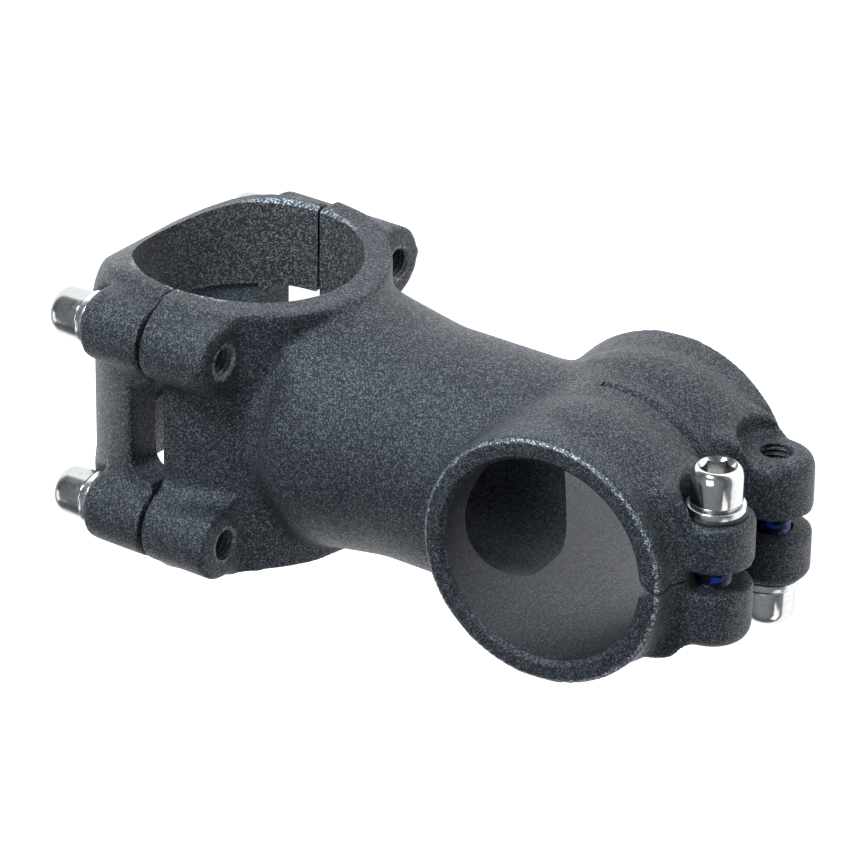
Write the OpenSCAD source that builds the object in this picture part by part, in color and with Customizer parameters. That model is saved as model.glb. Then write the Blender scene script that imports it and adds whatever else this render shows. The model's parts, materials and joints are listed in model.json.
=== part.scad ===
// Threadless handlebar stem: a hollow forged body with a split steerer clamp at
// the back and a four-bolt handlebar clamp with a loose faceplate at the front.
// Millimetres. The origin is the middle of the steerer bore, +Z runs up the
// steerer, +X points forward to the handlebar and +Y lies along the handlebar.

/* [Steerer clamp] */
// Diameter of the steerer tube that the clamp grips
steerer_d = 28.6; // [25.4:0.1:34]
// Height of the clamp along the steerer
clamp_h = 38; // [34:1:48]
// Wall of the clamp ring at its two end faces
clamp_wall = 3.2; // [2.5:0.1:5]
// How far the two swells stand out behind the ring over each pinch bolt
swell_rise = 1.7; // [0.5:0.1:2.5]
// How far the swells' centre lies behind the steerer's
swell_shift = 1; // [0.5:0.1:2]
// Distance from each end face to the nearer pinch bolt
pinch_inset = 10.4; // [9.5:0.1:12]
// Metal between the steerer bore and a pinch bolt hole
pinch_land = 2.9; // [2:0.1:5]

/* [Pinch ears] */
// Radius of the rounded ears around each pinch bolt
ear_r = 5.3; // [5:0.1:7]
// Rounding of a tapped ear's free end
ear_round = 2; // [0.5:0.1:2.5]
// Gap between an upper ear and a lower ear
ear_gap = 3; // [2:0.1:4]
// Distance from the slit's middle to the seat under a bolt head
seat_reach = 8.2; // [7:0.1:10]
// Distance from the slit's middle to the end of a tapped ear
tapped_reach = 9.6; // [9:0.1:12]
// Width of the narrow slit between the bore and the ears
slit_w = 0.8; // [0.4:0.1:1.2]
// Width of the relieving notch where the slit meets the bore
notch_w = 2.5; // [1:0.1:4]
// Depth of that notch
notch_depth = 1.9; // [1:0.1:2.4]
// Radius of the round shoulders that carry the ring over to the ears
shoulder_r = 6.3; // [5:0.1:7]

/* [Extension] */
// Distance from the steerer axis to the handlebar axis
reach = 60; // [55:1:110]
// Angle of the extension below a right angle to the steerer
drop_angle = 6; // [0:1:10]
// Outer radius of the extension
tube_r = 16.4; // [15.5:0.1:17]
// Radius of the fillet from the extension to the handlebar clamp
flare_r = 5; // [3:1:12]
// Half width of the hollow, across the handlebar direction
hollow_half_w = 11.4; // [9:0.1:12]
// Half height of the hollow, along the steerer direction
hollow_half_h = 13.6; // [11:0.1:14]
// How far the hollow's middle lies above the extension's axis
hollow_lift = 1; // [0:0.1:1.5]
// Metal left between the hollow's end and the handlebar bore
hollow_floor = 5; // [3:0.5:10]
// Radius of the lightening hole from the hollow to the handlebar bore
lightening_r = 7; // [3:0.5:9]

/* [Handlebar clamp] */
// Diameter of the handlebar that the clamp grips
bar_d = 31.8; // [25.4:0.1:35]
// Width of the clamp along the handlebar, at the seam
bar_clamp_w = 41; // [38:1:50]
// Wall of the clamp around the handlebar
bar_wall = 3.8; // [2.5:0.1:5]
// Further thickness of the two bands that carry the tapped holes
band_rise = 2.9; // [2:0.1:4.5]
// Width of each band
band_w = 13.5; // [12:0.1:15]
// Gap left at the seam between the body and the faceplate
seam_gap = 0.4; // [0.2:0.1:2]
// Chamfer on the edges of both clamp bores
bore_chamfer = 0.5; // [0.2:0.1:0.8]
// Length of the tapped bosses behind the seam
tapped_len = 11; // [9:0.5:13]

/* [Faceplate] */
// Thickness of the faceplate from the seam to the washer seats
plate_seat = 10; // [9:0.1:12]
// Radius of the faceplate's bolt bosses
boss_r = 5.2; // [5:0.1:6]
// Metal between the handlebar bore and a faceplate bolt hole
bolt_land = 0.85; // [0.6:0.05:2]
// Distance from each clamp end to its row of faceplate bolts
bolt_inset = 6.75; // [6.5:0.05:8]
// Width of each of the faceplate's bands
plate_band_w = 16; // [14:0.1:18]
// Radius that rounds off the faceplate's end faces towards the front
crown_r = 25; // [23:0.5:60]
// Distance in front of the seam where that rounding begins
crown_start = 5; // [1:0.5:10]
// Height of the side windows between the upper and lower bosses
window_h = 15; // [12:0.5:16]
// Depth of the upper side window forward from the seam
top_window = 4.3; // [3:0.1:8]
// Depth of the lower side window forward from the seam
low_window = 7.8; // [3:0.1:8]
// Wall of the faceplate between its bands
middle_wall = 4.8; // [3.5:0.1:6]
// Depth of the relief inside the faceplate between its bands
relief_depth = 0.8; // [0.3:0.1:1.2]

/* [Fasteners] */
// Nominal diameter of every bolt
bolt_d = 5; // [4:1:6]
// Thread pitch of every bolt
thread_pitch = 0.8; // [0.7:0.1:1]
// Diameter of the barrel heads
head_d = 7; // [7:0.1:8.5]
// Height of the barrel heads
head_h = 5.4; // [4:0.1:6]
// Size of the hexagon key across its flats
key_af = 4; // [3:0.5:5]
// Depth of the key socket
key_depth = 3; // [2:0.1:3.5]
// Length of a faceplate bolt under its head
plate_bolt_len = 18; // [16:1:20]
// Length of a pinch bolt under its head
pinch_bolt_len = 16; // [14:1:18]
// Outer diameter of the steel washers
washer_d = 7.9; // [7.5:0.1:9]
// Thickness of the steel washers
washer_t = 1; // [0.6:0.1:1.4]
// Outer diameter of the black nylon washers
ring_d = 8.3; // [7.8:0.1:9]
// Thickness of the black nylon washers
ring_t = 0.5; // [0.3:0.1:1]
// Radial clearance of a bolt in its tapped hole
thread_clear = 0.05; // [0.02:0.01:0.1]
// Radial clearance of a bolt in a plain hole
hole_clear = 0.3; // [0.2:0.05:0.5]
// Radial clearance of a bolt in its washers
washer_clear = 0.1; // [0.05:0.01:0.2]
// Radial clearance of a washer in its spot face
spot_clear = 0.6; // [0.3:0.1:1]

/* [Hidden] */
$fn = 96;
eps = 0.01;
over = 30;

// Radii that the fits share
steerer_r = steerer_d / 2;
bar_r = bar_d / 2;
bolt_r = bolt_d / 2;
tapped_r = bolt_r + thread_clear;
plain_r = bolt_r + hole_clear;
spot_r = ring_d / 2 + spot_clear;
clamp_r = steerer_r + clamp_wall;
swell_r = clamp_r + swell_rise - swell_shift;
bar_shell_r = bar_r + bar_wall;
band_r = bar_shell_r + band_rise;

// Pinch bolts: the upper one goes down and the lower one comes up
pinch_x = -(steerer_r + pinch_land + plain_r);
pinch_z = clamp_h / 2 - pinch_inset;
slit_reach = 2.1;
slit_end = pinch_x + slit_reach;

// Faceplate bolts, in the handlebar clamp's own frame
bolt_z = bar_r + bolt_land + plain_r;
bolt_y = bar_clamp_w / 2 - bolt_inset;
stack = ring_t + washer_t;

// Edge breaks and small features
thread_depth = 0.61 * thread_pitch;
head_round = 1.1;
head_neck = 0.5;
neck_step = 0.35;
band_round = 5;
swell_curve = 16;
rear_slope = 5;
end_margin = 2.2;
window_bite = 6;
mouth_len = 4;
mouth_r = 3.9;
shoulder_x = -(steerer_r - 0.9);
shoulder_y = 6.5;

// ---- frames -------------------------------------------------------------

// The extension's frame: X along the extension, from the steerer axis
module extension_frame() {
    rotate([0, drop_angle, 0]) children();
}

// The handlebar clamp's frame: its origin is the handlebar's axis
module bar_frame() {
    extension_frame() translate([reach, 0, 0]) children();
}

// One faceplate bolt's axis, with Z pointing forward out of the faceplate
module face_bolt_frame(top, left) {
    bar_frame() translate([0, left * bolt_y, top * bolt_z]) rotate([0, 90, 0]) children();
}

// One pinch bolt's axis, with Z pointing out of its head.
// side is -1 for the upper bolt's head on -Y and 1 for the lower bolt's on +Y
module pinch_frame(side) {
    translate([pinch_x, 0, -side * pinch_z]) rotate([-side * 90, 0, 0]) children();
}

// A cylinder along Y, centred on the origin
module rod_y(r, h) {
    rotate([90, 0, 0]) cylinder(r = r, h = h, center = true);
}

// ---- steerer clamp ------------------------------------------------------

// Ring with a swell over each pinch bolt and a valley between the two
module clamp_ring() {
    cylinder(r = clamp_r, h = clamp_h, center = true);
    translate([-swell_shift, 0, 0]) rotate_extrude()
        for (s = [-1, 1])
            intersection() {
                translate([swell_r - swell_curve, s * pinch_z]) circle(r = swell_curve);
                translate([0, -clamp_h / 2]) square([swell_r, clamp_h]);
            }
}

// Ears of one pinch bolt, head on one side and tapped end on the other
module ear_pair(side) {
    bottom = -(side < 0 ? seat_reach : tapped_reach);
    top = side < 0 ? tapped_reach : seat_reach;
    pinch_frame(side) rotate_extrude() {
        translate([0, ear_round - tapped_reach]) square([ear_r, tapped_reach + seat_reach - ear_round]);
        translate([0, -tapped_reach]) square([ear_r - ear_round, ear_round + eps]);
        translate([ear_r - ear_round, ear_round - tapped_reach]) circle(r = ear_round);
    }
    translate([pinch_x, bottom + (side < 0 ? 0 : ear_round), -side * pinch_z - ear_r])
        cube([shoulder_r - pinch_x - steerer_r, top - bottom - ear_round, 2 * ear_r]);
    for (s = [-1, 1])
        translate([shoulder_x, s * shoulder_y, -side * pinch_z])
            cylinder(r = shoulder_r, h = 2 * ear_r, center = true);
}

// Everything cut for one pinch bolt: plain hole, tapped hole and head pocket
module pinch_cuts(side) {
    pinch_frame(side) {
        cylinder(r = plain_r, h = seat_reach + eps);
        translate([0, 0, -over]) cylinder(r = tapped_r, h = over + eps);
        translate([0, 0, seat_reach]) cylinder(r = spot_r, h = over);
        translate([0, 0, -tapped_reach - over]) cylinder(r = ear_r, h = over);
    }
}

// Slit, its notch at the bore and the wide gap between the ears
module slit_cuts() {
    gap_end = slit_end - ear_gap / 2;
    translate([gap_end, -slit_w / 2, -over]) cube([-gap_end, slit_w, 2 * over]);
    translate([gap_end - over, -ear_gap / 2, -over]) cube([over, ear_gap, 2 * over]);
    translate([gap_end, 0, -over]) cylinder(r = ear_gap / 2, h = 2 * over);
    translate([0, 0, -over])
        linear_extrude(height = 2 * over)
            polygon([
                [-steerer_r + 1, -notch_w / 2], [-steerer_r - 0.2, -notch_w / 2],
                [-steerer_r - notch_depth, 0],
                [-steerer_r - 0.2, notch_w / 2], [-steerer_r + 1, notch_w / 2]
            ]);
}

// ---- extension ----------------------------------------------------------

// Round extension that flares into the handlebar clamp
module extension_tube() {
    flare_top = tube_r + flare_r;
    flare_x = reach - bar_shell_r;
    extension_frame() rotate([0, 90, 0]) {
        cylinder(r = tube_r, h = reach);
        intersection() {
            rotate_extrude() difference() {
                translate([0, flare_x - flare_r]) square([flare_top, flare_r + bar_r]);
                translate([flare_top, flare_x - flare_r]) circle(r = flare_r);
                translate([flare_top, flare_x - 2 * flare_r]) square([2 * flare_r, 2 * flare_r]);
            }
            cylinder(r = bar_clamp_w / 2 - end_margin, h = reach);
        }
    }
}

// Hollow inside the extension, open to the steerer bore
module extension_hollow() {
    hollow_end = reach - bar_r - hollow_floor;
    stretch = hollow_half_h - hollow_half_w;
    extension_frame() rotate([0, 90, 0]) {
        linear_extrude(height = hollow_end) translate([-hollow_lift, 0]) {
            for (s = [-1, 1]) translate([s * stretch, 0]) circle(r = hollow_half_w);
            square([2 * stretch, 2 * hollow_half_w], center = true);
        }
        cylinder(r = lightening_r, h = reach);
    }
}

// ---- handlebar clamp ----------------------------------------------------

// Rounded band around the handlebar that carries two tapped holes
module clamp_band(side, width) {
    rotate([side * 90, 0, 0]) rotate_extrude() translate([0, -bar_clamp_w / 2]) {
        square([band_r - band_round, width]);
        translate([0, band_round]) square([band_r, width - 2 * band_round]);
        for (y = [band_round, width - band_round])
            translate([band_r - band_round, y]) circle(r = band_round);
    }
}

// Block that trims the clamp's end faces: square at the seam, sloping behind it
module end_trim() {
    half = bar_clamp_w / 2;
    tail = reach;
    linear_extrude(height = 4 * over, center = true)
        polygon([
            [0, -half], [0, half],
            [-tail, half - tail * tan(rear_slope)], [-tail, -half + tail * tan(rear_slope)]
        ]);
}

// Bosses of the four bolts, from x0 to x1 along the bolts
module bolt_bosses(x0, x1, r) {
    for (sy = [-1, 1]) for (sz = [-1, 1])
        translate([x0, sy * bolt_y, sz * bolt_z]) {
            rotate([0, 90, 0]) cylinder(r = r, h = x1 - x0);
            translate([0, -r, sz > 0 ? -r : 0]) cube([x1 - x0, 2 * r, r]);
        }
}

// Back half of the handlebar clamp
module clamp_back() {
    intersection() {
        union() {
            rod_y(bar_shell_r, bar_clamp_w);
            for (s = [-1, 1]) clamp_band(s, band_w);
            bolt_bosses(-tapped_len, 0, boss_r);
        }
        end_trim();
    }
}

// Chamfered bore for the handlebar
module bar_bore() {
    rod_y(bar_r, bar_clamp_w + 2);
    for (s = [0, 180])
        rotate([90 + s, 0, 0]) translate([0, 0, bar_clamp_w / 2 - bore_chamfer])
            cylinder(r1 = bar_r, r2 = bar_r + 2 * bore_chamfer, h = 2 * bore_chamfer);
}

// Chamfered bore for the steerer
module steerer_bore() {
    cylinder(r = steerer_r, h = clamp_h + 2, center = true);
    for (s = [0, 180])
        rotate([s, 0, 0]) translate([0, 0, clamp_h / 2 - bore_chamfer])
            cylinder(r1 = steerer_r, r2 = steerer_r + 2 * bore_chamfer, h = 2 * bore_chamfer);
}

// ---- pieces -------------------------------------------------------------

module stem_body() {
    color([0.16, 0.18, 0.2])
    difference() {
        union() {
            clamp_ring();
            for (s = [-1, 1]) ear_pair(s);
            intersection() {
                extension_tube();
                translate([0, -over, -over]) cube([2 * reach, 2 * over, 2 * over]);
            }
            bar_frame() clamp_back();
        }
        steerer_bore();
        extension_hollow();
        slit_cuts();
        for (s = [-1, 1]) pinch_cuts(s);
        bar_frame() {
            bar_bore();
            translate([-seam_gap / 2, -over, -over]) cube([over, 2 * over, 2 * over]);
        }
        for (top = [-1, 1]) for (left = [-1, 1])
            face_bolt_frame(top, left) {
                translate([0, 0, -over]) cylinder(r = tapped_r, h = over);
                translate([0, 0, -tapped_len - mouth_len]) cylinder(r = mouth_r, h = mouth_len);
            }
    }
}

// Side window between an upper and a lower boss, open to the seam
module window_cut(depth) {
    translate([-1, -window_h / 2, bar_r - window_bite]) cube([depth + 1, window_h, over]);
}

// Outline of the faceplate seen along the steerer: its ends round off at the front
module plate_outline() {
    half = bar_clamp_w / 2;
    translate([seam_gap / 2, -half]) square([crown_start - seam_gap / 2, 2 * half]);
    intersection_for(s = [-1, 1])
        translate([crown_start, s * (crown_r - half)]) intersection() {
            circle(r = crown_r);
            translate([-eps, -2 * over]) square(4 * over);
        }
}

module faceplate() {
    color([0.16, 0.18, 0.2])
    bar_frame()
    difference() {
        intersection() {
            union() {
                rod_y(bar_shell_r, bar_clamp_w);
                for (s = [-1, 1]) clamp_band(s, plate_band_w);
                bolt_bosses(0, plate_seat, boss_r);
                rod_y(bar_r + middle_wall, 2 * bolt_y);
            }
            linear_extrude(height = 4 * over, center = true) plate_outline();
        }
        bar_bore();
        window_cut(top_window);
        mirror([0, 0, 1]) window_cut(low_window);
        intersection() {
            rod_y(bar_r + relief_depth, window_h);
            translate([max(top_window, low_window), -over, -over]) cube([over, 2 * over, 2 * over]);
        }
        for (sy = [-1, 1]) for (sz = [-1, 1])
            translate([0, sy * bolt_y, sz * bolt_z]) rotate([0, 90, 0]) {
                cylinder(r = plain_r, h = over);
                translate([0, 0, plate_seat]) cylinder(r = spot_r, h = over);
            }
    }
}

// Barrel-head bolt: its seat is at z = 0, the head above and the shank below
module bolt(len) {
    flat_r = key_af / 2 / cos(30);
    difference() {
        rotate_extrude() {
            polygon([
                [0, -len], [bolt_r - thread_depth, -len], [bolt_r, -len + thread_depth],
                [bolt_r, eps], [0, eps]
            ]);
            square([head_d / 2, head_neck]);
            square([head_d / 2 - neck_step, 2 * head_neck]);
            translate([0, 2 * head_neck]) square([head_d / 2, head_h - head_round - 2 * head_neck]);
            square([head_d / 2 - head_round, head_h]);
            translate([head_d / 2 - head_round, head_h - head_round]) circle(r = head_round);
        }
        translate([0, 0, head_h - key_depth]) cylinder(r = flat_r, h = key_depth + 1, $fn = 6);
    }
}

// Flat washer of outer radius r and thickness t, standing on z = 0
module flat_washer(r, t) {
    difference() {
        cylinder(r = r, h = t);
        translate([0, 0, -1]) cylinder(r = bolt_r + washer_clear, h = t + 2);
    }
}

module face_bolt(top, left) {
    color("silver") face_bolt_frame(top, left)
        translate([0, 0, plate_seat + stack]) bolt(plate_bolt_len);
}

module face_washer(top, left) {
    color("gainsboro") face_bolt_frame(top, left)
        translate([0, 0, plate_seat + ring_t]) flat_washer(washer_d / 2, washer_t);
}

module face_ring(top, left) {
    color([0.05, 0.05, 0.05]) face_bolt_frame(top, left)
        translate([0, 0, plate_seat]) flat_washer(ring_d / 2, ring_t);
}

module pinch_bolt(side) {
    color("silver") pinch_frame(side)
        translate([0, 0, seat_reach + stack]) bolt(pinch_bolt_len);
}

module pinch_washer(side) {
    color("gainsboro") pinch_frame(side)
        translate([0, 0, seat_reach + ring_t]) flat_washer(washer_d / 2, washer_t);
}

module pinch_ring(side) {
    color([0.05, 0.05, 0.05]) pinch_frame(side)
        translate([0, 0, seat_reach]) flat_washer(ring_d / 2, ring_t);
}

stem_body();
faceplate();
face_bolt(1, 1);  // face_bolt_top_left
face_bolt(1, -1);  // face_bolt_top_right
face_bolt(-1, 1);  // face_bolt_low_left
face_bolt(-1, -1);  // face_bolt_low_right
face_washer(1, 1);  // face_washer_top_left
face_washer(1, -1);  // face_washer_top_right
face_washer(-1, 1);  // face_washer_low_left
face_washer(-1, -1);  // face_washer_low_right
face_ring(1, 1);  // face_ring_top_left
face_ring(1, -1);  // face_ring_top_right
face_ring(-1, 1);  // face_ring_low_left
face_ring(-1, -1);  // face_ring_low_right
pinch_bolt(-1);  // pinch_bolt_upper
pinch_bolt(1);  // pinch_bolt_lower
pinch_washer(-1);  // pinch_washer_upper
pinch_washer(1);  // pinch_washer_lower
pinch_ring(-1);  // pinch_ring_upper
pinch_ring(1);  // pinch_ring_lower
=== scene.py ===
"""Looks of a threadless handlebar stem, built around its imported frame."""
import math

import bmesh
import bpy
from mathutils import Matrix, Vector
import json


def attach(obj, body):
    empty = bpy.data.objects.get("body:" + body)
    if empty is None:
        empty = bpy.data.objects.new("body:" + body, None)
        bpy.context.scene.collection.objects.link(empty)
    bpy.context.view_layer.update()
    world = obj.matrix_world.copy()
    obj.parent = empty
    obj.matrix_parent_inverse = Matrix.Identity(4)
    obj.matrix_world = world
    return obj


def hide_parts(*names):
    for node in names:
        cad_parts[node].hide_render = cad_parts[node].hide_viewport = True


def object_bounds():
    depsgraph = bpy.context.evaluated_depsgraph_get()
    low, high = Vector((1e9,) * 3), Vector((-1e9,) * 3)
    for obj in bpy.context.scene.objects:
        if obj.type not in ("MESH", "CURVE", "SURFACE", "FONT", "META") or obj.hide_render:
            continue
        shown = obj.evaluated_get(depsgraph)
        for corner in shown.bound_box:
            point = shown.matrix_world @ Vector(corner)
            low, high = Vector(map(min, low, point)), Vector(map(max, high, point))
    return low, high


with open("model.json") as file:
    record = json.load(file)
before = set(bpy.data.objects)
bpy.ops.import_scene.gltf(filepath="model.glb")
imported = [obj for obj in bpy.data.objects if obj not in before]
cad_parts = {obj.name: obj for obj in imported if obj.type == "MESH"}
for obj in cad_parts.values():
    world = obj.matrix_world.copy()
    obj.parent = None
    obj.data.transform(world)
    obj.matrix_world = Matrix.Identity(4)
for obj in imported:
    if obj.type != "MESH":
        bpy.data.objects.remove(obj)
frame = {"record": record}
cad_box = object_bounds()
record = frame["record"]
scene = bpy.context.scene
scene.view_settings.view_transform = "Standard"

# ---- camera -------------------------------------------------------------
# A long lens looks down on the stem from the rider's side, rolled so that the
# steerer clamp lies low on the right and the handlebar clamp high on the left.
MM = 0.001
aim = Vector((30.8, -1.4, -4.9)) * MM
camera_distance = 0.690
azimuth = math.radians(-44.1)
elevation = math.radians(50.8)
roll = math.radians(-127.8)
back = Vector((
    math.sin(azimuth) * math.cos(elevation),
    -math.cos(azimuth) * math.cos(elevation),
    math.sin(elevation),
))
camera_data = bpy.data.cameras.new("camera")
camera = bpy.data.objects.new("camera", camera_data)
scene.collection.objects.link(camera)
turn = back.to_track_quat("Z", "Y").to_matrix().to_4x4()
camera.matrix_world = (
    Matrix.Translation(aim + back * camera_distance) @ turn @ Matrix.Rotation(roll, 4, "Z")
)
camera_data.sensor_width = 36
camera_data.lens = 215.7
camera_data.clip_start = 0.05
camera_data.clip_end = 20
scene.camera = camera

# ---- floor, lights and sky ------------------------------------------------
# A plain pale floor under the stem's lowest edge, one cool soft key light from
# the near side, three weak fills, and a sky with a darker band for the chrome.
floor_half = 6.0
floor_mesh = bmesh.new()
bmesh.ops.create_grid(floor_mesh, x_segments=1, y_segments=1, size=floor_half)
bmesh.ops.translate(floor_mesh, verts=floor_mesh.verts, vec=(0, 0, cad_box[0][2]))
floor_data = bpy.data.meshes.new("floor")
floor_mesh.to_mesh(floor_data)
floor_mesh.free()
floor = bpy.data.objects.new("floor", floor_data)
scene.collection.objects.link(floor)
floor_paint = bpy.data.materials.new("floor_paint")
floor_paint.use_nodes = True
floor_shader = floor_paint.node_tree.nodes["Principled BSDF"]
floor_shader.inputs["Base Color"].default_value = (0.60, 0.60, 0.60, 1)
floor_shader.inputs["Roughness"].default_value = 0.9
floor_shader.inputs["Specular IOR Level"].default_value = 0.1
floor_shader.inputs["Emission Color"].default_value = (1.0, 1.0, 1.0, 1)
floor_shader.inputs["Emission Strength"].default_value = 1.0
floor_data.materials.append(floor_paint)


def soft_light(name, place, size, power, colour=(1, 1, 1)):
    """An area light at a place in metres, turned towards the stem's middle."""
    data = bpy.data.lights.new(name, "AREA")
    data.shape = "RECTANGLE"
    data.size, data.size_y = size
    data.energy = power
    data.color = colour
    light = bpy.data.objects.new(name, data)
    scene.collection.objects.link(light)
    way = Vector(place) - aim
    light.matrix_world = Matrix.Translation(place) @ way.to_track_quat("Z", "Y").to_matrix().to_4x4()


soft_light("key", (0.16, -0.66, 0.52), (0.24, 0.20), 9.5, (0.88, 0.95, 1.0))
soft_light("back_fill", (-0.55, 0.55, 0.30), (0.4, 0.3), 0.6)
soft_light("front_fill", (0.75, 0.25, 0.35), (0.4, 0.3), 0.8)
soft_light("top", (0.05, -0.10, 0.9), (0.5, 0.5), 1.8, (0.86, 0.93, 1.0))

world = bpy.data.worlds.new("studio")
scene.world = world
world.use_nodes = True
sky = world.node_tree
sky_colour = sky.nodes["Background"]
sky_way = sky.nodes.new("ShaderNodeTexCoord")
sky_split = sky.nodes.new("ShaderNodeSeparateXYZ")
sky_bands = sky.nodes.new("ShaderNodeValToRGB")
sky.links.new(sky_way.outputs["Generated"], sky_split.inputs[0])
sky.links.new(sky_split.outputs["Z"], sky_bands.inputs[0])
sky.links.new(sky_bands.outputs["Color"], sky_colour.inputs["Color"])
sky_bands.color_ramp.elements[0].position = 0.0
sky_bands.color_ramp.elements[0].color = (0.95, 0.96, 0.98, 1)
sky_bands.color_ramp.elements[1].position = 0.45
sky_bands.color_ramp.elements[1].color = (0.26, 0.29, 0.33, 1)
high = sky_bands.color_ramp.elements.new(0.85)
high.color = (0.72, 0.78, 0.86, 1)
sky_colour.inputs["Strength"].default_value = 0.42

# ---- stem body ------------------------------------------------------------
# One aluminium forging: a hollow extension between a split steerer clamp with
# four ears and the back half of the handlebar clamp. It is forged, machined in
# the bores, slit, drilled and tapped, then blasted and anodised black.
mounts = {row["name"]: row for row in record["mounts"]}
steerer_r = mounts["steerer_clamp"]["dims"]["r_mm"]
bar_r = mounts["handlebar_clamp"]["dims"]["r_mm"]
bar_centre = Vector(mounts["handlebar_clamp"]["pos_m"]) / MM
reach = math.hypot(bar_centre.x, bar_centre.z)
drop = math.atan2(-bar_centre.z, bar_centre.x)
along = Matrix.Rotation(drop, 4, "Y")
bar_frame = along @ Matrix.Translation((reach, 0, 0))
to_y = Matrix.Rotation(math.radians(-90), 4, "X")
to_x = Matrix.Rotation(math.radians(90), 4, "Y")

# A cutter that has to reach past the stem reaches as far as this.
far = 40.0

clamp_half = 19.0
end_ring_r = 17.5
swell_r = 18.2
swell_shift = 1.0
swell_curve = 16.0
pinch_x = -20.0
pinch_z = 8.6
ear_r = 5.3
ear_round = 2.0
ear_short = 1.5
ear_root_x = -12.5
ear_flank_r = 6.3
ear_flank_x = -13.4
ear_flank_y = 6.5
ear_gap = 3.0
seat_reach = 8.2
tapped_reach = 9.6
tube_r = 16.4
clamp_w = 41.0
shell_r = 19.7
band_r = 22.6
boss_r = 5.2
boss_len = 11.0
bolt_y = 13.75
bolt_z = 19.55
seam = 0.2
spot_face_r = 4.75
clearance_r = 2.8
thread_r = 2.5
tap_r = thread_r + 0.05
root_r = 2.1
pitch = 0.8


def turned(profile, steps=96, place=Matrix()):
    """A closed shape turned about Z from (radius, height) points, then placed."""
    bm = bmesh.new()
    line = [bm.verts.new((r, 0, z)) for r, z in profile]
    edges = [bm.edges.new(pair) for pair in zip(line, line[1:])]
    bmesh.ops.spin(
        bm, geom=line + edges, cent=(0, 0, 0), axis=(0, 0, 1), dvec=(0, 0, 0),
        angle=2 * math.pi, steps=steps, use_merge=True,
    )
    bmesh.ops.remove_doubles(bm, verts=bm.verts, dist=1e-4)
    bmesh.ops.recalc_face_normals(bm, faces=bm.faces)
    bmesh.ops.transform(bm, matrix=place, verts=bm.verts)
    return bm


def rod(radius, low, high, place=Matrix(), steps=96):
    """A plain cylinder about Z from low to high, then placed."""
    return turned([(0, low), (radius, low), (radius, high), (0, high)], steps, place)


def block(low, high, place=Matrix()):
    """A box between two corners, then placed."""
    bm = bmesh.new()
    size = Vector(high) - Vector(low)
    middle = (Vector(high) + Vector(low)) / 2
    bmesh.ops.create_cube(bm, size=1)
    bmesh.ops.scale(bm, vec=size, verts=bm.verts)
    bmesh.ops.translate(bm, vec=middle, verts=bm.verts)
    bmesh.ops.transform(bm, matrix=place, verts=bm.verts)
    return bm


def prism(outline, place=Matrix()):
    """A tall upright prism on an outline of (x, y) points, then placed."""
    bm = bmesh.new()
    base = bm.faces.new([bm.verts.new((x, y, -far)) for x, y in outline])
    top = bmesh.ops.extrude_face_region(bm, geom=[base])["geom"]
    risen = [v for v in top if isinstance(v, bmesh.types.BMVert)]
    bmesh.ops.translate(bm, verts=risen, vec=(0, 0, 2 * far))
    bmesh.ops.recalc_face_normals(bm, faces=bm.faces)
    bmesh.ops.transform(bm, matrix=place, verts=bm.verts)
    return bm


def keep_behind(bm, place, outward):
    """Cuts a closed shape at a plane, keeps what lies behind it and closes the cut."""
    bmesh.ops.bisect_plane(
        bm, geom=bm.verts[:] + bm.edges[:] + bm.faces[:],
        plane_co=place, plane_no=outward, clear_outer=True,
    )
    bmesh.ops.holes_fill(bm, edges=[e for e in bm.edges if e.is_boundary], sides=0)
    bmesh.ops.recalc_face_normals(bm, faces=bm.faces)


def to_object(name, parts):
    """Joins bmeshes, in millimetres, into one object."""
    whole = bpy.data.meshes.new(name)
    joined = bmesh.new()
    for part in parts:
        part.to_mesh(whole)
        joined.from_mesh(whole)
        part.free()
    joined.to_mesh(whole)
    joined.free()
    piece = bpy.data.objects.new(name, whole)
    scene.collection.objects.link(piece)
    return piece


def apply_modifiers(piece):
    """Bakes a piece's modifiers into its mesh."""
    graph = bpy.context.evaluated_depsgraph_get()
    baked = bpy.data.meshes.new_from_object(piece.evaluated_get(graph))
    piece.modifiers.clear()
    piece.data = baked


def blend_solid(piece, voxel, rounds):
    """Melts overlapping lumps into one skin and rounds its creases."""
    melt = piece.modifiers.new("melt", "REMESH")
    melt.mode = "VOXEL"
    melt.voxel_size = voxel
    smooth = piece.modifiers.new("smooth", "SMOOTH")
    smooth.factor = 0.5
    smooth.iterations = rounds
    apply_modifiers(piece)


def cut(piece, tool_parts, operation="DIFFERENCE"):
    """Cuts one tool after another from a piece, or joins it on."""
    for part in tool_parts:
        tool = to_object("tool", [part])
        knife = piece.modifiers.new("cut", "BOOLEAN")
        knife.operation = operation
        knife.solver = "MANIFOLD"
        knife.object = tool
        apply_modifiers(piece)
        bpy.data.objects.remove(tool)


def arc(centre, radius, start, end, count=8):
    """Points on an arc in the (radius, height) plane, angles in degrees."""
    return [
        (
            centre[0] + radius * math.cos(math.radians(start + (end - start) * i / count)),
            centre[1] + radius * math.sin(math.radians(start + (end - start) * i / count)),
        )
        for i in range(count + 1)
    ]


def swell_profile():
    """Outline of the steerer clamp: two swells with a valley between them."""
    half = math.asin((clamp_half - pinch_z) / swell_curve)
    valley = math.asin(pinch_z / swell_curve)
    middle = swell_r - swell_curve
    upper = arc((middle, pinch_z), swell_curve, -math.degrees(valley), math.degrees(half))
    lower = arc((middle, -pinch_z), swell_curve, -math.degrees(half), math.degrees(valley))
    return [(0, -clamp_half)] + lower + upper[1:] + [(0, clamp_half)]


def band_profile(width, round_r, band_r):
    """Outline of one handlebar band, from the clamp's end inwards."""
    end = clamp_w / 2
    return (
        [(0, end - width)]
        + arc((band_r - round_r, end - width + round_r), round_r, -90, 0)
        + arc((band_r - round_r, end - round_r), round_r, 0, 90)
        + [(0, end)]
    )


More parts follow.
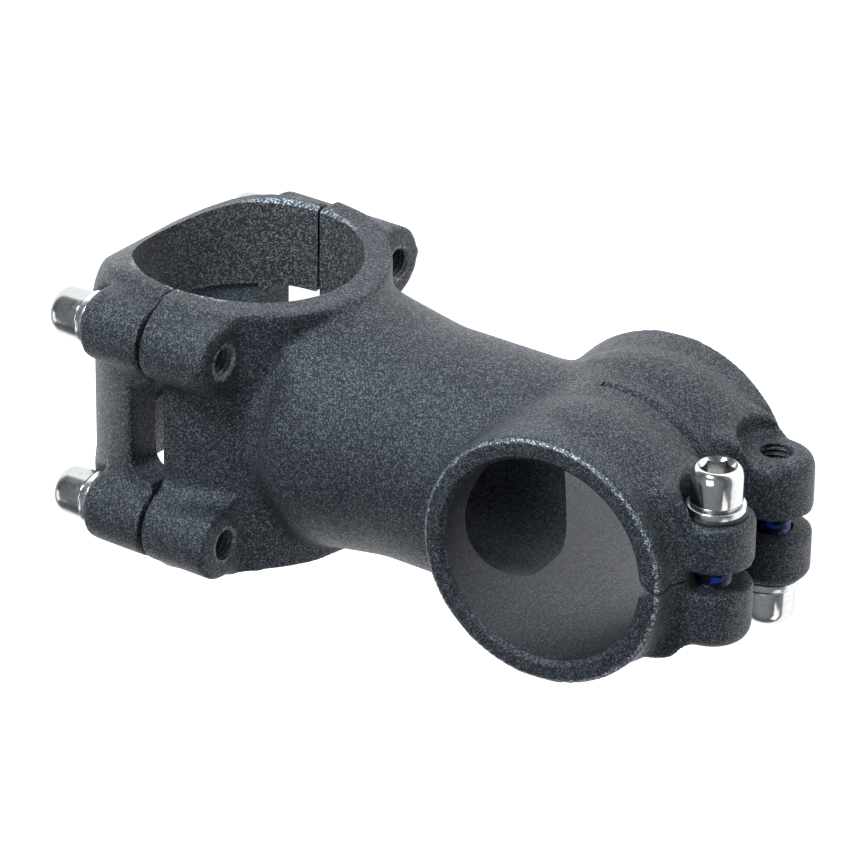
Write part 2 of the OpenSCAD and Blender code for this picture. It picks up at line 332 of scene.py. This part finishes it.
def pinch_place(side):
    """Frame of one pinch bolt: Z out of its head, -1 is the upper bolt."""
    return Matrix.Translation((pinch_x, 0, -side * pinch_z)) @ Matrix.Rotation(
        math.radians(-side * 90), 4, "X"
    )


def face_place(top, left):
    """Frame of one faceplate bolt: Z forward, out of its head."""
    return bar_frame @ Matrix.Translation((0, left * bolt_y, top * bolt_z)) @ to_x


bar_along = bar_frame @ to_y
sides = (-1, 1)
corners = [(top, left) for top in sides for left in sides]

# The metal's flow from the tube into both clamps is a first, much smoother skin,
# which lies just under the clamps' own surfaces and swells towards the handlebar.
flow_inset = 2.0
flow_half = 16.5
flow_under_ring = 0.6
flow_under_shell = 0.4
flow_swell = 2.2
flow_swell_start = 30.0
flow_swell_end = 44.0
flow = to_object("flow", [
    rod(tube_r, 0, reach - flow_inset, along @ to_x),
    rod(end_ring_r - flow_under_ring, flow_inset - clamp_half, clamp_half - flow_inset),
    rod(shell_r - flow_under_shell, -flow_half, flow_half, bar_along),
    turned([
        (0, flow_swell_start), (tube_r, flow_swell_start),
        (tube_r + flow_swell, flow_swell_end), (0, flow_swell_end),
    ], 96, along @ to_x),
])
blend_solid(flow, 0.7, 70)

band_w = 13.5
band_round = 5.0
seam_overlap = 0.5
body = to_object("stem_forging", [
    rod(tube_r, 0, reach - 10, along @ to_x),
    rod(end_ring_r, -clamp_half, clamp_half),
    turned(swell_profile(), 96, Matrix.Translation((-swell_shift, 0, 0))),
    rod(shell_r, -clamp_w / 2, clamp_w / 2, bar_along),
])
flow_skin = bmesh.new()
flow_skin.from_mesh(flow.data)
bpy.data.objects.remove(flow)
lumps = [flow_skin]
for side in sides:
    place = pinch_place(side)
    lumps.append(turned(
        [(0, -tapped_reach)] + arc((ear_r - ear_round, ear_round - tapped_reach), ear_round, -90, 0)
        + [(ear_r, seat_reach), (0, seat_reach)], 64, place,
    ))
    low = -seat_reach if side < 0 else ear_short - tapped_reach
    high = tapped_reach - ear_short if side < 0 else seat_reach
    lumps.append(block(
        (pinch_x, low, -side * pinch_z - ear_r), (ear_root_x, high, -side * pinch_z + ear_r)
    ))
    for hand in sides:
        flank = Matrix.Translation((ear_flank_x, hand * ear_flank_y, -side * pinch_z))
        lumps.append(rod(ear_flank_r, -ear_r, ear_r, flank))
    band = turned(
        band_profile(band_w, band_round, band_r), 96, to_y @ Matrix.Scale(side, 4, (0, 0, 1))
    )
    keep_behind(band, (-boss_len, 0, 0), (-1, 0, 0))
    bmesh.ops.transform(band, matrix=bar_frame, verts=band.verts)
    lumps.append(band)
for top, left in corners:
    lumps.append(rod(boss_r, -boss_len, seam_overlap, face_place(top, left), 64))
skin = bmesh.new()
skin.from_mesh(body.data)
bpy.data.objects.remove(body)
body = to_object("stem_forging", [skin] + lumps)
blend_solid(body, 0.55, 1)

# The seam, the sloping ends, the ears' gap and the bolt seats are milled
# before the last smoothing, so that their edges are softly broken.
slope = math.radians(5)
milled = 30.0
slit_x = -18.5
mouth_depth = 16.5
mouth_r = 3.0
mouth_flare_r = 3.6
early_cuts = [block((-seam, -far, -far), (far, far, far), bar_frame)]
for hand in sides:
    wedge = Matrix.Translation((0, hand * clamp_w / 2, 0)) @ Matrix.Rotation(hand * slope, 4, "Z")
    low, high = (0, milled) if hand > 0 else (-milled, 0)
    early_cuts.append(block((-milled, low, -far), (milled, high, far), bar_frame @ wedge))
for side in sides:
    early_cuts.append(rod(spot_face_r, seat_reach, milled, pinch_place(side), 48))
    early_cuts.append(rod(ear_r, -far, -tapped_reach, pinch_place(side), 48))
early_cuts.append(block((slit_x - milled, -ear_gap / 2, -far), (slit_x, ear_gap / 2, far)))
for top, left in corners:
    early_cuts.append(turned([
        (0, -mouth_depth), (mouth_r, -mouth_depth), (mouth_flare_r, -boss_len), (0, -boss_len),
    ], 48, face_place(top, left)))
cut(body, early_cuts)
blend_solid(body, 0.45, 4)

# Each bore's two edges are broken by this much, at 45 degrees.
edge = 0.65


def bore_cutter(radius, half, place=Matrix()):
    """The cutter of a clamp bore, which flares past its ends to break their edges."""
    past = 6.0
    flare = radius + edge + past
    return turned([
        (0, -half - past), (flare, -half - past), (radius, edge - half),
        (radius, half - edge), (flare, half + past), (0, half + past),
    ], 160, place)


# Then come the sharp cuts: the flat ends, the bores, the hollow, the slit with
# its notch, the crease between the two swells, the broken rims and the threads.
end_front = 20.0
hollow_r = 11.4
hollow_lift = 1.0
hollow_stretch = 2.2
hollow_end = 39.1
channel_r = 7.0
channel_start = 30.0
slit_half = 0.2
slit_end = -10.0
notch_half = 2.0
notch_depth = 1.9
notch_start = 1.0
valley_r = 16.5
valley_rim_r = 19.4
valley_half = 2.0
valley_shift = 0.55
valley_front = 1.5
rim_break = 0.45
rim_r = end_ring_r - 0.2
rim_clear_r = 24.0
late_cuts = [
    block((-far, -far, clamp_half), (end_front, far, far)),
    block((-far, -far, -far), (end_front, far, -clamp_half)),
    bore_cutter(steerer_r, clamp_half),
]
for side in sides:
    shift = Matrix.Translation((0, 0, hollow_lift + side * hollow_stretch))
    late_cuts.append(rod(hollow_r, 0, hollow_end, along @ shift @ to_x))
late_cuts.append(block(
    (0, -hollow_r, hollow_lift - hollow_stretch),
    (hollow_end, hollow_r, hollow_lift + hollow_stretch), along,
))
late_cuts.append(rod(channel_r, channel_start, reach, along @ to_x))
late_cuts.append(bore_cutter(bar_r, clamp_w / 2, bar_along))
late_cuts.append(block((slit_x, -slit_half, -far), (slit_end, slit_half, far)))
late_cuts.append(prism((
    (notch_start - steerer_r, -notch_half), (-steerer_r - notch_depth, 0),
    (notch_start - steerer_r, notch_half),
)))
valley = turned([
    (valley_r, 0), (valley_rim_r, -valley_half), (valley_rim_r, valley_half), (valley_r, 0),
], 160, Matrix.Translation((valley_shift, 0, 0)))
keep_behind(valley, (valley_front, 0, 0), (1, 0, 0))
late_cuts.append(valley)
for side in sides:
    late_cuts.append(turned([
        (rim_r - rim_break, side * clamp_half), (rim_r, side * (clamp_half - rim_break)),
        (rim_clear_r, side * (clamp_half - rim_break)), (rim_clear_r, side * (clamp_half + 1)),
        (rim_r - rim_break, side * (clamp_half + 1)), (rim_r - rim_break, side * clamp_half),
    ], 160))


def screw(length, root, crest, steps=32, place=Matrix()):
    """A closed right-hand thread about Z, from 0 up to length."""
    bm = bmesh.new()
    line = [bm.verts.new((r, 0, z)) for r, z in ((root, 0), (crest, pitch / 2), (root, pitch))]
    edges = [bm.edges.new(pair) for pair in zip(line, line[1:])]
    turns = round(length / pitch) - 1
    bmesh.ops.spin(
        bm, geom=line + edges, cent=(0, 0, 0), axis=(0, 0, 1), dvec=(0, 0, pitch / steps),
        angle=2 * math.pi * turns, steps=steps * turns,
    )
    bmesh.ops.remove_doubles(bm, verts=bm.verts, dist=1e-3)
    for middle in (0, length):
        rim = [
            e for e in bm.edges
            if e.is_boundary and abs(e.verts[0].co.z - middle) < 1.5 * pitch
        ]
        cap = bmesh.ops.extrude_edge_only(bm, edges=rim)["geom"]
        tips = [v for v in cap if isinstance(v, bmesh.types.BMVert)]
        bmesh.ops.pointmerge(bm, verts=tips, merge_co=(0, 0, middle))
    bmesh.ops.recalc_face_normals(bm, faces=bm.faces)
    bmesh.ops.transform(bm, matrix=place, verts=bm.verts)
    return bm


tapped_r = thread_r + 0.02
face_thread = 11.2
face_thread_end = -17.0
pinch_thread = 6.4
pinch_thread_end = -12.0
for top, left in corners:
    hole = face_place(top, left)
    late_cuts.append(rod(tap_r, -7, 5, hole, 48))
    start = Matrix.Translation((0, 0, face_thread_end))
    late_cuts.append(screw(face_thread, root_r, tapped_r, 32, hole @ start))
for side in sides:
    hole = pinch_place(side)
    late_cuts.append(rod(clearance_r, 0, 12, hole, 48))
    late_cuts.append(rod(tap_r, -6.8, 0.5, hole, 48))
    start = Matrix.Translation((0, 0, pinch_thread_end))
    late_cuts.append(screw(pinch_thread, root_r, tapped_r, 32, hole @ start))
cut(body, late_cuts)


def blast_group():
    """Node group for a blasted skin: fine grit, bright specks and a slow drift of tone."""
    group = bpy.data.node_groups.new("blasted_grain", "ShaderNodeTree")
    for name, kind in (("Vector", "NodeSocketVector"), ("Grit per metre", "NodeSocketFloat")):
        group.interface.new_socket(name, in_out="INPUT", socket_type=kind)
    for name in ("Height", "Specks", "Drift"):
        group.interface.new_socket(name, in_out="OUTPUT", socket_type="NodeSocketFloat")
    nodes, links = group.nodes, group.links
    ask = nodes.new("NodeGroupInput")
    give = nodes.new("NodeGroupOutput")
    grit = nodes.new("ShaderNodeTexNoise")
    grit.inputs["Detail"].default_value = 3
    grit.inputs["Roughness"].default_value = 0.7
    links.new(ask.outputs["Vector"], grit.inputs["Vector"])
    links.new(ask.outputs["Grit per metre"], grit.inputs["Scale"])
    links.new(grit.outputs["Fac"], give.inputs["Height"])
    finer = nodes.new("ShaderNodeMath")
    finer.operation = "MULTIPLY"
    finer.inputs[1].default_value = 1.3
    links.new(ask.outputs["Grit per metre"], finer.inputs[0])
    fleck = nodes.new("ShaderNodeTexVoronoi")
    links.new(ask.outputs["Vector"], fleck.inputs["Vector"])
    links.new(finer.outputs[0], fleck.inputs["Scale"])
    pick = nodes.new("ShaderNodeSeparateColor")
    links.new(fleck.outputs["Color"], pick.inputs[0])
    rare = nodes.new("ShaderNodeMapRange")
    rare.inputs["From Min"].default_value = 0.58
    rare.inputs["From Max"].default_value = 1.0
    links.new(pick.outputs[0], rare.inputs["Value"])
    links.new(rare.outputs[0], give.inputs["Specks"])
    drift = nodes.new("ShaderNodeTexNoise")
    drift.inputs["Scale"].default_value = 90
    drift.inputs["Detail"].default_value = 2
    links.new(ask.outputs["Vector"], drift.inputs["Vector"])
    links.new(drift.outputs["Fac"], give.inputs["Drift"])
    return group


blasted_grain = blast_group()


def blasted(name, dark, light, speck, rough, grit=5600, relief=0.8, gloss=0.4):
    """A grainy finish between two tones with paler specks, as on blasted metal."""
    paint = bpy.data.materials.new(name)
    paint.use_nodes = True
    nodes, links = paint.node_tree.nodes, paint.node_tree.links
    shader = nodes["Principled BSDF"]
    where = nodes.new("ShaderNodeTexCoord")
    grain = nodes.new("ShaderNodeGroup")
    grain.node_tree = blasted_grain
    grain.inputs["Grit per metre"].default_value = grit
    links.new(where.outputs["Object"], grain.inputs["Vector"])
    tone = nodes.new("ShaderNodeMix")
    tone.data_type = "RGBA"
    tone.inputs["A"].default_value = (*dark, 1)
    tone.inputs["B"].default_value = (*light, 1)
    level = nodes.new("ShaderNodeMath")
    level.operation = "MULTIPLY"
    links.new(grain.outputs["Height"], level.inputs[0])
    links.new(grain.outputs["Drift"], level.inputs[1])
    gain = nodes.new("ShaderNodeMath")
    gain.operation = "MULTIPLY"
    gain.inputs[1].default_value = 2.0
    links.new(level.outputs[0], gain.inputs[0])
    links.new(gain.outputs[0], tone.inputs["Factor"])
    spark = nodes.new("ShaderNodeMix")
    spark.data_type = "RGBA"
    spark.inputs["B"].default_value = (*speck, 1)
    links.new(tone.outputs["Result"], spark.inputs["A"])
    links.new(grain.outputs["Specks"], spark.inputs["Factor"])
    links.new(spark.outputs["Result"], shader.inputs["Base Color"])
    sheen = nodes.new("ShaderNodeMapRange")
    sheen.inputs["To Min"].default_value = rough + 0.1
    sheen.inputs["To Max"].default_value = rough - 0.12
    links.new(grain.outputs["Specks"], sheen.inputs["Value"])
    links.new(sheen.outputs[0], shader.inputs["Roughness"])
    bump = nodes.new("ShaderNodeBump")
    bump.inputs["Strength"].default_value = relief
    bump.inputs["Distance"].default_value = 0.00012
    links.new(grain.outputs["Height"], bump.inputs["Height"])
    links.new(bump.outputs["Normal"], shader.inputs["Normal"])
    shader.inputs["Metallic"].default_value = 0.35
    shader.inputs["Specular IOR Level"].default_value = gloss
    return paint


skin_paint = blasted(
    "blasted_black", (0.002, 0.003, 0.004), (0.015, 0.018, 0.022), (0.112, 0.130, 0.155), 0.42
)
# The steerer bore and its notch are painted a little darker than the outer skin: painted shade. They are
# also glossier.
bore_paint = blasted(
    "bore_black", (0.003, 0.004, 0.006), (0.018, 0.022, 0.028), (0.075, 0.088, 0.108), 0.26, 5600, 0.6, 1.0
)
# The handlebar bore is painted lighter than the skin, with pale flecks: wear, and painted light where the
# bore lies in shade.
bar_bore_flecks_and_light = blasted(
    "bar_bore_flecks_painted_lighter", (0.020, 0.021, 0.023), (0.075, 0.078, 0.084), (0.30, 0.31, 0.33), 0.36, 4200, 0.6
)
# The broken edges of the bores and rims are painted paler: wear, and a painted highlight along them.
worn_and_highlit_edge_paint = blasted(
    "worn_edge_painted_highlight", (0.02, 0.024, 0.03), (0.07, 0.08, 0.095), (0.42, 0.46, 0.51), 0.36, 4200, 0.9
)
pocket_paint = blasted(
    "pocket_grey", (0.025, 0.033, 0.042), (0.075, 0.092, 0.112), (0.24, 0.28, 0.33), 0.40
)
# The hollow, the tapped holes and the channel are painted much lighter than the outer skin: painted light in
# these recesses.
hollow_painted_light = blasted(
    "hollow_painted_lighter", (0.05, 0.058, 0.068), (0.14, 0.155, 0.175), (0.34, 0.36, 0.40), 0.5
)


def finish(piece, name, replaced, rides):
    """Brings a piece from millimetres into the frame and hands it over."""
    piece.data.transform(Matrix.Scale(MM, 4))
    piece.data.set_sharp_from_angle(angle=math.radians(32))
    piece.name = name
    piece.data.name = name
    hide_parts(*replaced)
    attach(piece, rides)


def near_axis(point, place, radius):
    """Whether a point lies within a radius of a placed Z axis."""
    local = place.inverted() @ point
    return math.hypot(local.x, local.y) < radius


def paint_by_place(piece, paints, choose):
    """Gives each face the paint whose number choose(centre) returns."""
    piece.data.materials.clear()
    for paint in paints:
        piece.data.materials.append(paint)
    for face in piece.data.polygons:
        face.material_index = choose(face.center)
        face.use_smooth = True


def on_edge(point, place, radius, end):
    """Whether a point lies on the broken edge at either end of a bore."""
    local = place.inverted() @ point
    off = math.hypot(local.x, local.y)
    return radius + 0.03 < off < radius + edge + 0.05 and end - edge < abs(local.z) < end + 0.1


def body_paint(point):
    """0 outside; 1 in the steerer bore and its notch, painted a little darker, painted shade; 2 in the
    hollow, tapped holes and channel, painted lighter, painted light; 3 on the broken edges, painted paler,
    wear and a painted highlight; 4 in the bar bore, painted lighter, flecks of wear and painted light.
    """
    off = math.hypot(point.x, point.y)
    below_end = abs(point.z) < clamp_half - 0.02
    if rim_r - rim_break - 0.02 < off < rim_r + 0.02 and clamp_half - rim_break < abs(point.z) and below_end:
        return 3
    if on_edge(point, bar_along, bar_r, clamp_w / 2):
        return 3
    if abs(point.y) < 1.4 and steerer_r < -point.x < steerer_r + notch_depth + 0.05 and below_end:
        return 1
    if near_axis(point, Matrix(), steerer_r + 0.05):
        return 1
    if near_axis(point, bar_along, bar_r + 0.05):
        return 4
    # Faces in the hollow, the tapped holes and the channel take the lighter paint: painted light.
    inner = along.inverted() @ point
    off_middle = max(0, abs(inner.z - hollow_lift) - hollow_stretch)
    if 0 < inner.x < 40 and math.hypot(inner.y, off_middle) < hollow_r + 0.05:
        return 2
    if inner.x > reach - 20 and any(near_axis(point, face_place(*corner), 2.54) for corner in corners):
        return 2
    if hollow_end - 1 < inner.x < reach - 13 and math.hypot(inner.y, inner.z) < channel_r + 0.1:
        return 2
    return 0


paint_by_place(body, (skin_paint, bore_paint, hollow_painted_light, worn_and_highlit_edge_paint, bar_bore_flecks_and_light), body_paint)
finish(body, "forged_body", ["stem_body"], "stem")

# ---- faceplate ------------------------------------------------------------
# The loose front half of the handlebar clamp, forged and blasted like the body.
# Two rounded bands take the bolts, a thinner wall joins them, and windows are cut
# into it from the seam. Its end faces round off towards the front.
plate_seat = 10.0
crowns = ((-1, 25.0, 5.0), (1, 21.0, 3.0))


def plate_outline():
    """The faceplate's outline seen along the steerer, as an upright prism."""
    half = clamp_w / 2
    points = [(seam, -half)]
    for hand, crown_r, crown_start in crowns:
        swing = math.degrees(math.acos((crown_r - half) / crown_r))
        flank = arc((crown_start, hand * (half - crown_r)), crown_r, hand * 90, hand * (90 - swing), 12)
        points += flank if hand < 0 else flank[::-1]
    points.append((seam, half))
    return prism(points, bar_frame)


def rounded_block(low, high, radius, place):
    """A box whose four upright edges are rounded, then placed."""
    bm = block(low, high)
    upright = [e for e in bm.edges if abs(e.verts[0].co.z - e.verts[1].co.z) > 1e-3]
    bmesh.ops.bevel(
        bm, geom=upright, offset=radius, segments=6, profile=0.5, affect="EDGES", material=-1,
    )
    bmesh.ops.transform(bm, matrix=place, verts=bm.verts)
    return bm


rim_round = 2.5
plate_middle_r = 21.2
plate_middle_half = 10.0
plate_band_r = 21.5
plate_band_w = 16.2
plate_band_round = 8.0
window_fronts = {1: 4.3, -1: 7.8}
window_back = -6.0
window_low = 5.0
window_half = 7.5
window_round = 2.2
relief_half = 7.4
relief_depth = 0.7
relief_start = max(window_fronts.values()) + 0.8
rim = clamp_w / 2 - rim_round
plate_lumps = [
    turned(
        [(0, -clamp_w / 2)] + arc((shell_r - rim_round, -rim), rim_round, -90, 0)
        + arc((shell_r - rim_round, rim), rim_round, 0, 90) + [(0, clamp_w / 2)], 96, bar_along,
    ),
    rod(plate_middle_r, -plate_middle_half, plate_middle_half, bar_along),
]
for side in sides:
    facing = bar_frame @ to_y @ Matrix.Scale(side, 4, (0, 0, 1))
    plate_lumps.append(turned(band_profile(plate_band_w, plate_band_round, plate_band_r), 96, facing))
for top, left in corners:
    plate_lumps.append(rod(boss_r, -seam_overlap, plate_seat, face_place(top, left), 64))
plate = to_object("plate_forging", plate_lumps)
blend_solid(plate, 0.5, 4)
cut(plate, [plate_outline()], "INTERSECT")
plate_windows = []
for side in sides:
    low, high = (window_low, far) if side > 0 else (-far, -window_low)
    plate_windows.append(rounded_block(
        (window_back, -window_half, low), (window_fronts[side], window_half, high), window_round, bar_frame
    ))
for top, left in corners:
    plate_windows.append(rod(spot_face_r, plate_seat, far, face_place(top, left), 48))
cut(plate, plate_windows)
blend_solid(plate, 0.42, 5)
relief = rod(bar_r + relief_depth, -relief_half, relief_half, to_y, 160)
keep_behind(relief, (relief_start, 0, 0), (-1, 0, 0))
bmesh.ops.transform(relief, matrix=bar_frame, verts=relief.verts)
plate_cuts = [bore_cutter(bar_r, clamp_w / 2, bar_along), relief]
for top, left in corners:
    plate_cuts.append(rod(clearance_r, -5, 20, face_place(top, left), 48))
cut(plate, plate_cuts)


def plate_paint(point):
    """0 outside, 1 in the bore, painted lighter (flecks of wear and painted light), 2 on the broken edges,
    painted paler (wear and a painted highlight), 3 in the relief.
    """
    if on_edge(point, bar_along, bar_r, clamp_w / 2):
        return 2
    if near_axis(point, bar_along, bar_r + 0.05):
        return 1
    local = bar_frame.inverted() @ point
    relieved = near_axis(point, bar_along, bar_r + relief_depth + 0.05) and abs(local.y) < relief_half + 0.1
    return 3 if relieved and local.x > relief_start - 0.8 else 0


paint_by_place(plate, (skin_paint, bar_bore_flecks_and_light, worn_and_highlit_edge_paint, pocket_paint), plate_paint)
finish(plate, "front_plate", ["faceplate"], "faceplate")

# ---- bolts ----------------------------------------------------------------
# Six M5 barrel-head cap screws with 4 mm hexagon sockets, cold headed in steel
# with rolled threads and bright chrome plate. Four hold the faceplate, their chrome
# painted darker: painted shade. The two that pinch the steerer clamp have chrome
# painted lighter, painted light, and their shanks are painted near black where they
# show in the ears' gap, painted shade, with spots of blue thread lock.
head_r = 3.5
head_h = 5.4
head_foot_r = 3.05
head_top_r = 2.35
shoulder_z = 3.55
socket_w = 4.0
socket_depth = 3.0
stack = 1.5


def chrome_paint(name, dark, light, rough_range, shade_and_lock_band=None):
    """Chrome with faint polishing marks; given a band (middle Y and half width), the shank there is matte
    and painted near black, painted shade, with spots of blue thread lock.
    """
    paint = bpy.data.materials.new(name)
    paint.use_nodes = True
    nodes, links = paint.node_tree.nodes, paint.node_tree.links
    shader = nodes["Principled BSDF"]
    where = nodes.new("ShaderNodeTexCoord")
    haze = nodes.new("ShaderNodeTexNoise")
    haze.inputs["Scale"].default_value = 1500
    haze.inputs["Detail"].default_value = 4
    links.new(where.outputs["Object"], haze.inputs["Vector"])
    rough = nodes.new("ShaderNodeMapRange")
    rough.inputs["To Min"].default_value = rough_range[0]
    rough.inputs["To Max"].default_value = rough_range[1]
    links.new(haze.outputs["Fac"], rough.inputs["Value"])
    tone = nodes.new("ShaderNodeMix")
    tone.data_type = "RGBA"
    tone.inputs["A"].default_value = (dark, dark, dark * 0.98, 1)
    tone.inputs["B"].default_value = (light, light, light * 0.98, 1)
    links.new(haze.outputs["Fac"], tone.inputs["Factor"])
    bump = nodes.new("ShaderNodeBump")
    bump.inputs["Strength"].default_value = 0.08
    bump.inputs["Distance"].default_value = 0.00005
    links.new(haze.outputs["Fac"], bump.inputs["Height"])
    links.new(bump.outputs["Normal"], shader.inputs["Normal"])
    if shade_and_lock_band is None:
        links.new(rough.outputs[0], shader.inputs["Roughness"])
        links.new(tone.outputs["Result"], shader.inputs["Base Color"])
        shader.inputs["Metallic"].default_value = 1.0
        return paint
    split = nodes.new("ShaderNodeSeparateXYZ")
    links.new(where.outputs["Object"], split.inputs[0])
    in_gap_band = nodes.new("ShaderNodeMath")
    in_gap_band.operation = "COMPARE"
    in_gap_band.inputs[1].default_value = shade_and_lock_band[0]
    in_gap_band.inputs[2].default_value = shade_and_lock_band[1]
    links.new(split.outputs["Y"], in_gap_band.inputs[0])
    gap_shade_and_lock = nodes.new("ShaderNodeMix")
    gap_shade_and_lock.data_type = "RGBA"
    spots = nodes.new("ShaderNodeTexNoise")
    spots.inputs["Scale"].default_value = 900
    spots.inputs["Detail"].default_value = 1
    links.new(where.outputs["Object"], spots.inputs["Vector"])
    wet = nodes.new("ShaderNodeMapRange")
    wet.inputs["From Min"].default_value = 0.55
    wet.inputs["From Max"].default_value = 0.62
    links.new(spots.outputs["Fac"], wet.inputs["Value"])
    # Near black is painted shade on the shank where it shows in the ears' gap, mixed with spots of blue
    # thread lock.
    blue = nodes.new("ShaderNodeMix")
    blue.data_type = "RGBA"
    blue.inputs["A"].default_value = (0.003, 0.004, 0.008, 1)
    blue.inputs["B"].default_value = (0.012, 0.07, 0.42, 1)
    links.new(wet.outputs[0], blue.inputs["Factor"])
    links.new(blue.outputs["Result"], gap_shade_and_lock.inputs["B"])
    links.new(in_gap_band.outputs[0], gap_shade_and_lock.inputs["Factor"])
    links.new(tone.outputs["Result"], gap_shade_and_lock.inputs["A"])
    links.new(gap_shade_and_lock.outputs["Result"], shader.inputs["Base Color"])
    dull = nodes.new("ShaderNodeMix")
    dull.inputs["B"].default_value = 0.45
    links.new(in_gap_band.outputs[0], dull.inputs["Factor"])
    links.new(rough.outputs[0], dull.inputs["A"])
    links.new(dull.outputs["Result"], shader.inputs["Roughness"])
    bare = nodes.new("ShaderNodeMath")
    bare.operation = "SUBTRACT"
    bare.inputs[0].default_value = 1.0
    links.new(in_gap_band.outputs[0], bare.inputs[1])
    links.new(bare.outputs[0], shader.inputs["Metallic"])
    return paint


def hex_socket():
    """The key socket, a hexagonal prism."""
    bm = bmesh.new()
    corner_r = socket_w / 2 / math.cos(math.pi / 6)
    flat = bmesh.ops.create_circle(bm, cap_ends=True, segments=6, radius=corner_r)
    bmesh.ops.translate(bm, verts=flat["verts"], vec=(0, 0, head_h - socket_depth))
    walls = bmesh.ops.extrude_face_region(bm, geom=bm.faces[:])["geom"]
    bmesh.ops.translate(bm, verts=[v for v in walls if isinstance(v, bmesh.types.BMVert)], vec=(0, 0, 4))
    bmesh.ops.recalc_face_normals(bm, faces=bm.faces)
    return bm


def socket_mouth():
    """The cone that breaks the socket's edge."""
    return turned([
        (0, head_h - 0.9), (1.8, head_h - 0.9), (2.5, head_h - 0.2), (2.9, head_h + 0.6), (0, head_h + 0.6),
    ], 48)


def cap_screw(name, length, place, paint, replaced, rides):
    """One barrel-head cap screw, seated at z = 0 of its frame."""
    shoulder = [
        (
            head_top_r + (head_r - head_top_r) * math.cos(t),
            shoulder_z + (head_h - shoulder_z) * math.sin(t),
        )
        for t in (math.radians(9 * i) for i in range(11))
    ]
    screw_body = to_object(name, [turned(
        [(0, 0), (head_foot_r, 0), (head_foot_r, 0.3)] + arc((head_r - 0.3, 0.6), 0.3, -60, 0, 4)
        + shoulder[:-1] + [(head_top_r, head_h), (0, head_h)], 64,
    )])
    cut(screw_body, [
        rod(root_r, 0.1 - length, 0.1, steps=48),
        screw(length - 0.4, root_r - 0.02, thread_r - 0.02, 32, Matrix.Translation((0, 0, -length))),
    ], "UNION")
    cut(screw_body, [hex_socket(), socket_mouth()])
    screw_body.data.transform(place @ Matrix.Translation((0, 0, stack)))
    screw_body.data.materials.clear()
    screw_body.data.materials.append(paint)
    for face in screw_body.data.polygons:
        face.use_smooth = True
    finish(screw_body, name, [replaced], rides)


# The faceplate screws' chrome is painted darker and the pinch screws' lighter, on the same plate: painted
# shade and painted light.
chrome = chrome_paint("chrome_plate", 0.36, 0.52, (0.10, 0.30))
lit_chrome_with_gap_shade = chrome_paint("chrome_plate_lit_gap_shaded_locked", 0.46, 0.70, (0.05, 0.20), (0.0, 0.0018))
names = {(1, 1): "top_left", (1, -1): "top_right", (-1, 1): "low_left", (-1, -1): "low_right"}
face_len = 18
pinch_len = 16
for corner in corners:
    bolt = f"face_bolt_{names[corner]}"
    seat = face_place(*corner) @ Matrix.Translation((0, 0, plate_seat))
    cap_screw(f"plate_screw_{names[corner]}", face_len, seat, chrome, bolt, bolt)
for side, where in ((-1, "upper"), (1, "lower")):
    bolt = f"pinch_bolt_{where}"
    seat = pinch_place(side) @ Matrix.Translation((0, 0, seat_reach))
    cap_screw(f"pinch_screw_{where}", pinch_len, seat, lit_chrome_with_gap_shade, bolt, bolt)

# ---- washers --------------------------------------------------------------
# Under each head lies a bright turned steel washer, and under that a thin black
# nylon one that keeps it from biting into the anodised seat.
washer_hole_r = 2.6
steel_r = 3.95
nylon_r = 4.15
nylon_h = 0.5
washer_break = 0.12


def flat_ring(name, inner, outer, low, high, place, paint, replaced, rides):
    """A flat washer whose four edges are broken."""
    bm = turned([(inner, low), (outer, low), (outer, high), (inner, high), (inner, low)], 96)
    edges = [e for e in bm.edges if e.calc_face_angle(0) > 1]
    bmesh.ops.bevel(
        bm, geom=edges, offset=washer_break, segments=3, profile=0.5, affect="EDGES", material=-1,
    )
    bmesh.ops.transform(bm, matrix=place, verts=bm.verts)
    ring = to_object(name, [bm])
    ring.data.materials.append(paint)
    for face in ring.data.polygons:
        face.use_smooth = True
    finish(ring, name, [replaced], rides)


def turned_steel():
    """Bright steel with the fine circles that a turning tool leaves."""
    paint = bpy.data.materials.new("turned_steel")
    paint.use_nodes = True
    nodes, links = paint.node_tree.nodes, paint.node_tree.links
    shader = nodes["Principled BSDF"]
    where = nodes.new("ShaderNodeTexCoord")
    lines = nodes.new("ShaderNodeTexNoise")
    lines.inputs["Scale"].default_value = 2500
    lines.inputs["Detail"].default_value = 3
    links.new(where.outputs["Object"], lines.inputs["Vector"])
    rough = nodes.new("ShaderNodeMapRange")
    rough.inputs["To Min"].default_value = 0.12
    rough.inputs["To Max"].default_value = 0.34
    links.new(lines.outputs["Fac"], rough.inputs["Value"])
    links.new(rough.outputs[0], shader.inputs["Roughness"])
    tone = nodes.new("ShaderNodeMix")
    tone.data_type = "RGBA"
    tone.inputs["A"].default_value = (0.45, 0.45, 0.45, 1)
    tone.inputs["B"].default_value = (0.70, 0.70, 0.69, 1)
    links.new(lines.outputs["Fac"], tone.inputs["Factor"])
    links.new(tone.outputs["Result"], shader.inputs["Base Color"])
    shader.inputs["Metallic"].default_value = 1.0
    return paint


steel = turned_steel()
nylon = blasted(
    "black_nylon", (0.006, 0.006, 0.007), (0.016, 0.016, 0.018), (0.03, 0.03, 0.03), 0.45, 3000, 0.1
)
nylon.node_tree.nodes["Principled BSDF"].inputs["Metallic"].default_value = 0.0
seats = [
    (names[corner], "face", face_place(*corner) @ Matrix.Translation((0, 0, plate_seat)))
    for corner in corners
] + [
    (where, "pinch", pinch_place(side) @ Matrix.Translation((0, 0, seat_reach)))
    for side, where in ((-1, "upper"), (1, "lower"))
]
for where, kind, seat in seats:
    rides = f"{kind}_washers_{where}"
    flat_ring(
        f"steel_washer_{kind}_{where}", washer_hole_r, steel_r, nylon_h, stack, seat, steel,
        f"{kind}_washer_{where}", rides,
    )
    flat_ring(
        f"nylon_washer_{kind}_{where}", washer_hole_r, nylon_r, 0.0, nylon_h, seat, nylon,
        f"{kind}_ring_{where}", rides,
    )
